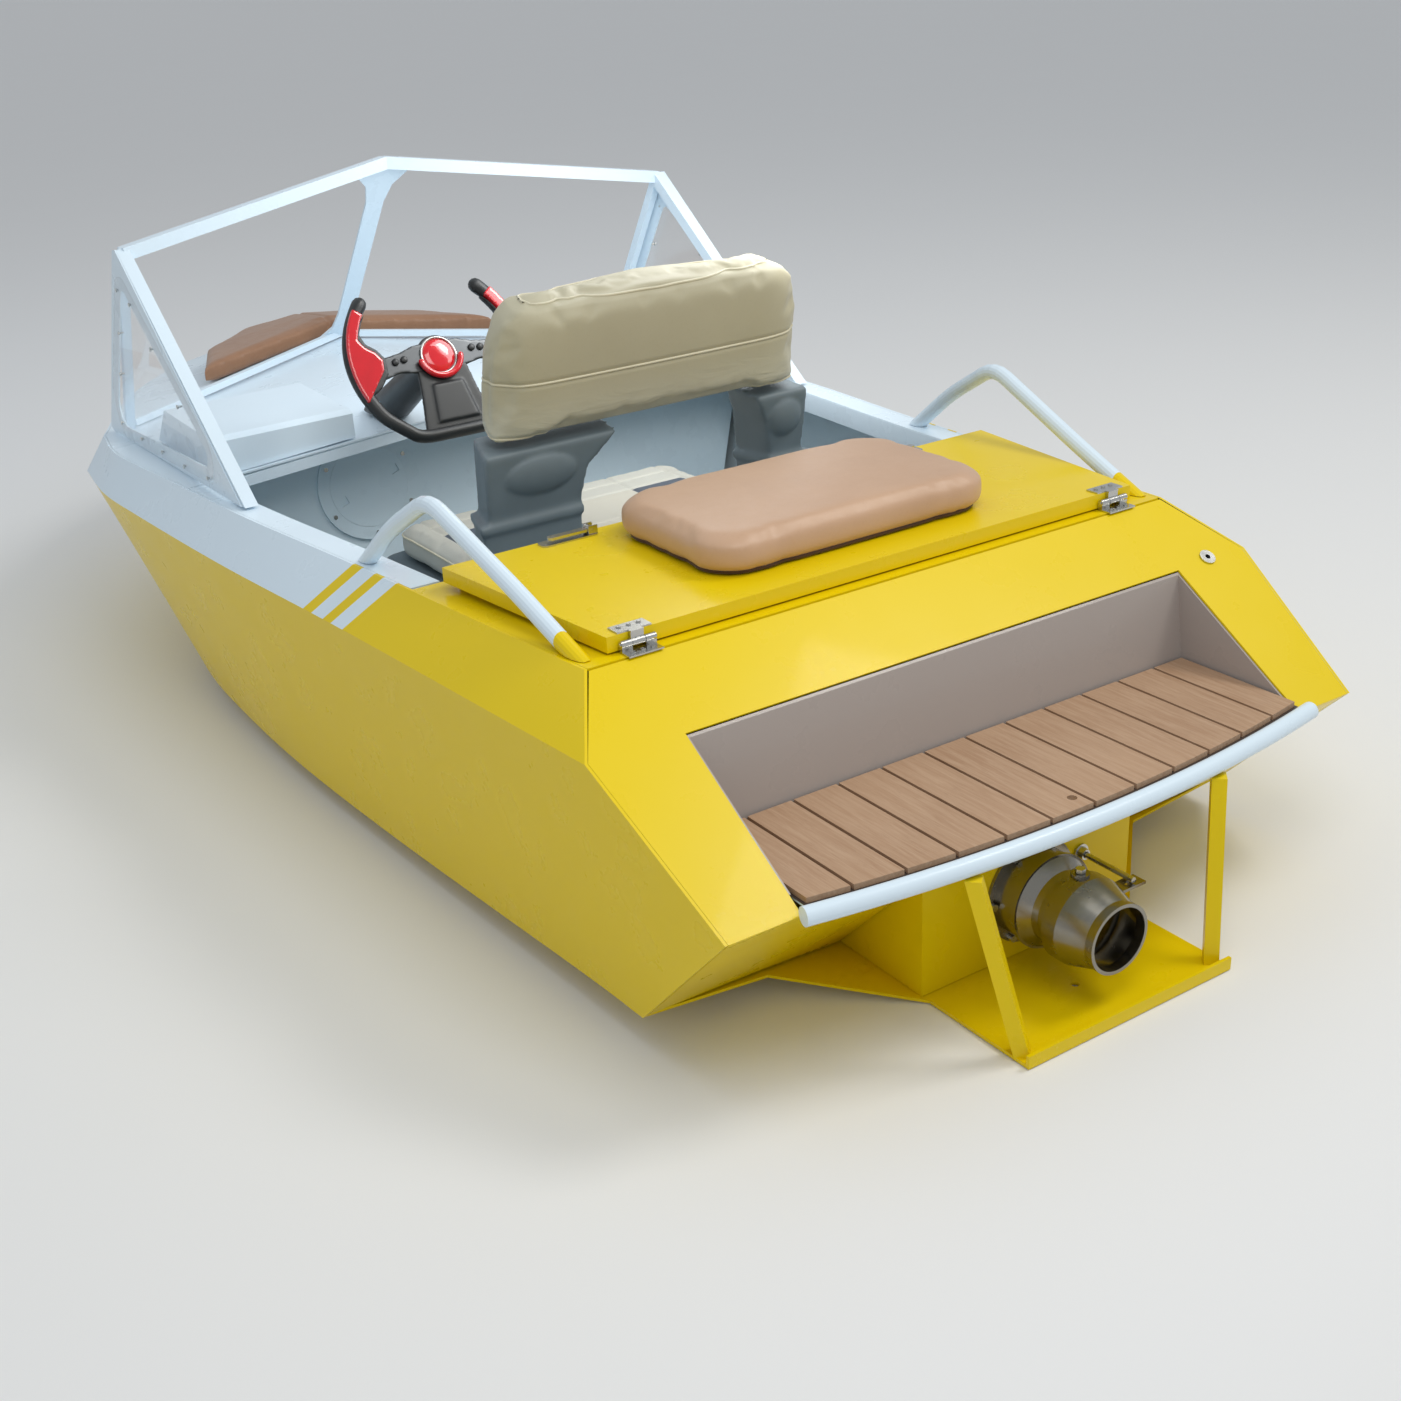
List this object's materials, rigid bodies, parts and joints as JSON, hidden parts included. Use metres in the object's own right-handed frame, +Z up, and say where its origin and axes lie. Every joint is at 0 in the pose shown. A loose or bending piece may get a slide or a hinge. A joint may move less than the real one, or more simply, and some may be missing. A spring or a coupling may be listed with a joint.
{
  "type": "mini jet boat",
  "caption": "Small welded-aluminium jet boat with a helm seat, yoke steering wheel, raked windscreen frame, grab rails, planked stern platform and a steerable jet nozzle.",
  "frame": {"origin": "middle of the boat, at the height of the keel pad", "axes": "+X to starboard, +Y to the bow, +Z up"},
  "size_m": [1.6, 3.49, 1.093],
  "materials": {
    "yellow_paint": "gloss",
    "white_paint": "gloss",
    "interior_paint": "satin",
    "floor_coating": "matte",
    "teak": "matte",
    "steel": "satin",
    "jet_steel": "satin",
    "engine_alloy": "satin",
    "exhaust_alloy": "matte",
    "clear_pane": "gloss",
    "black_plastic": "matte",
    "red_gloss": "gloss",
    "shell_plastic": "matte",
    "cream_cover": "satin",
    "charcoal_cover": "satin",
    "tan_cover": "satin"
  },
  "bodies": {
    "hull": {"hull_bottom": "yellow_paint", "side_panel_port": "yellow_paint", "side_panel_starboard": "yellow_paint", "bow_panel_port": "yellow_paint", "bow_panel_starboard": "yellow_paint", "sheer_band_port": "white_paint", "sheer_band_starboard": "white_paint", "bow_nose_plate": "yellow_paint", "transom_plate": "yellow_paint", "jet_box": "yellow_paint", "jet_guard_plate": "yellow_paint", "bow_pad": "tan_cover", "stern_slope_panel": "yellow_paint", "recess_bulkhead": "white_paint", "platform_plate": "white_paint", "teak_planks": "teak", "platform_rail": "white_paint", "stern_deck": "yellow_paint", "coamings": "white_paint", "foredeck": "white_paint", "dash_console": "white_paint", "front_bulkhead": "interior_paint", "inspection_ring": "interior_paint", "panel_screws": "steel", "engine_bulkhead": "interior_paint", "cockpit_floor": "floor_coating", "windscreen_frame": "white_paint", "wing_panels": "white_paint", "wing_panes": "clear_pane", "grab_rails": "white_paint", "steering_column": "black_plastic", "seat_base": "interior_paint", "seat_shell": "shell_plastic", "seat_back_cushion": "cream_cover", "seat_bottom_cushion": "charcoal_cover", "fuel_tank": "black_plastic", "engine_block": "engine_alloy", "exhaust_manifold": "exhaust_alloy", "pump_housing": "jet_steel", "exit_cone": "jet_steel", "pump_bolts": "steel", "steering_cable": "black_plastic", "hinge_fixed_leaves": "steel", "stern_fittings": "steel", "intake_grate": "steel"},
    "lid": {"hatch_lid": "yellow_paint", "hatch_cushion": "tan_cover", "hinge_lid_leaves": "steel", "latch_bases": "steel"},
    "latch_port": {"latch_lever_port": "steel"},
    "latch_starboard": {"latch_lever_starboard": "steel"},
    "wheel": {"wheel_rim": "black_plastic", "wheel_grips": "red_gloss", "wheel_hub": "red_gloss"},
    "nozzle": {"steering_nozzle": "jet_steel"},
    "rod": {"push_rod": "steel"},
    "shaft": {"drive_shaft": "steel", "impeller": "jet_steel"},
    "inspection": {"inspection_lid": "interior_paint"},
    "pedal": {"throttle_pedal": "black_plastic"}
  },
  "joints": [
    {"name": "hatch_hinge", "type": "hinge", "parent": "hull", "child": "lid", "pos_m": [0, -1.175, 0.586], "axis": [1, 0, 0], "range_deg": [0, 75]},
    {"name": "port_latch", "type": "hinge", "parent": "lid", "child": "latch_port", "pos_m": [-0.325, -0.736, 0.611], "axis": [0, 1, 0], "range_deg": [0, 90]},
    {"name": "starboard_latch", "type": "hinge", "parent": "lid", "child": "latch_starboard", "pos_m": [0.325, -0.736, 0.611], "axis": [0, -1, 0], "range_deg": [0, 90]},
    {"name": "steering_wheel", "type": "hinge", "parent": "hull", "child": "wheel", "pos_m": [-0.212, 0.056, 0.764], "axis": [0, 0.866, -0.5], "range_deg": [-120, 120]},
    {"name": "nozzle_yaw", "type": "hinge", "parent": "hull", "child": "nozzle", "pos_m": [0, -1.62, 0.122], "axis": [0, 0, 1], "range_deg": [-20, 20]},
    {"name": "push_rod_slide", "type": "slide", "parent": "hull", "child": "rod", "axis": [0, 1, 0], "range_m": [-0.0402, 0.0402]},
    {"name": "drive_shaft_spin", "type": "hinge", "parent": "hull", "child": "shaft", "pos_m": [0, -1.51, 0.122], "axis": [0, 1, 0], "continuous": true},
    {"name": "inspection_turn", "type": "hinge", "parent": "hull", "child": "inspection", "pos_m": [-0.268, 0.396, 0.415], "axis": [0, -0.9848, 0.1736], "range_deg": [0, 90]},
    {"name": "throttle_press", "type": "hinge", "parent": "hull", "child": "pedal", "pos_m": [-0.12, 0.305, 0.128], "axis": [-1, 0, 0], "range_deg": [0, 18], "stiffness_Nm_per_rad": 2}
  ],
  "couplings": [
    {"joint": "nozzle_yaw", "follows": "steering_wheel", "ratio": 0.1666},
    {"joint": "push_rod_slide", "follows": "steering_wheel", "m_per_rad": 0.019117}
  ]
}
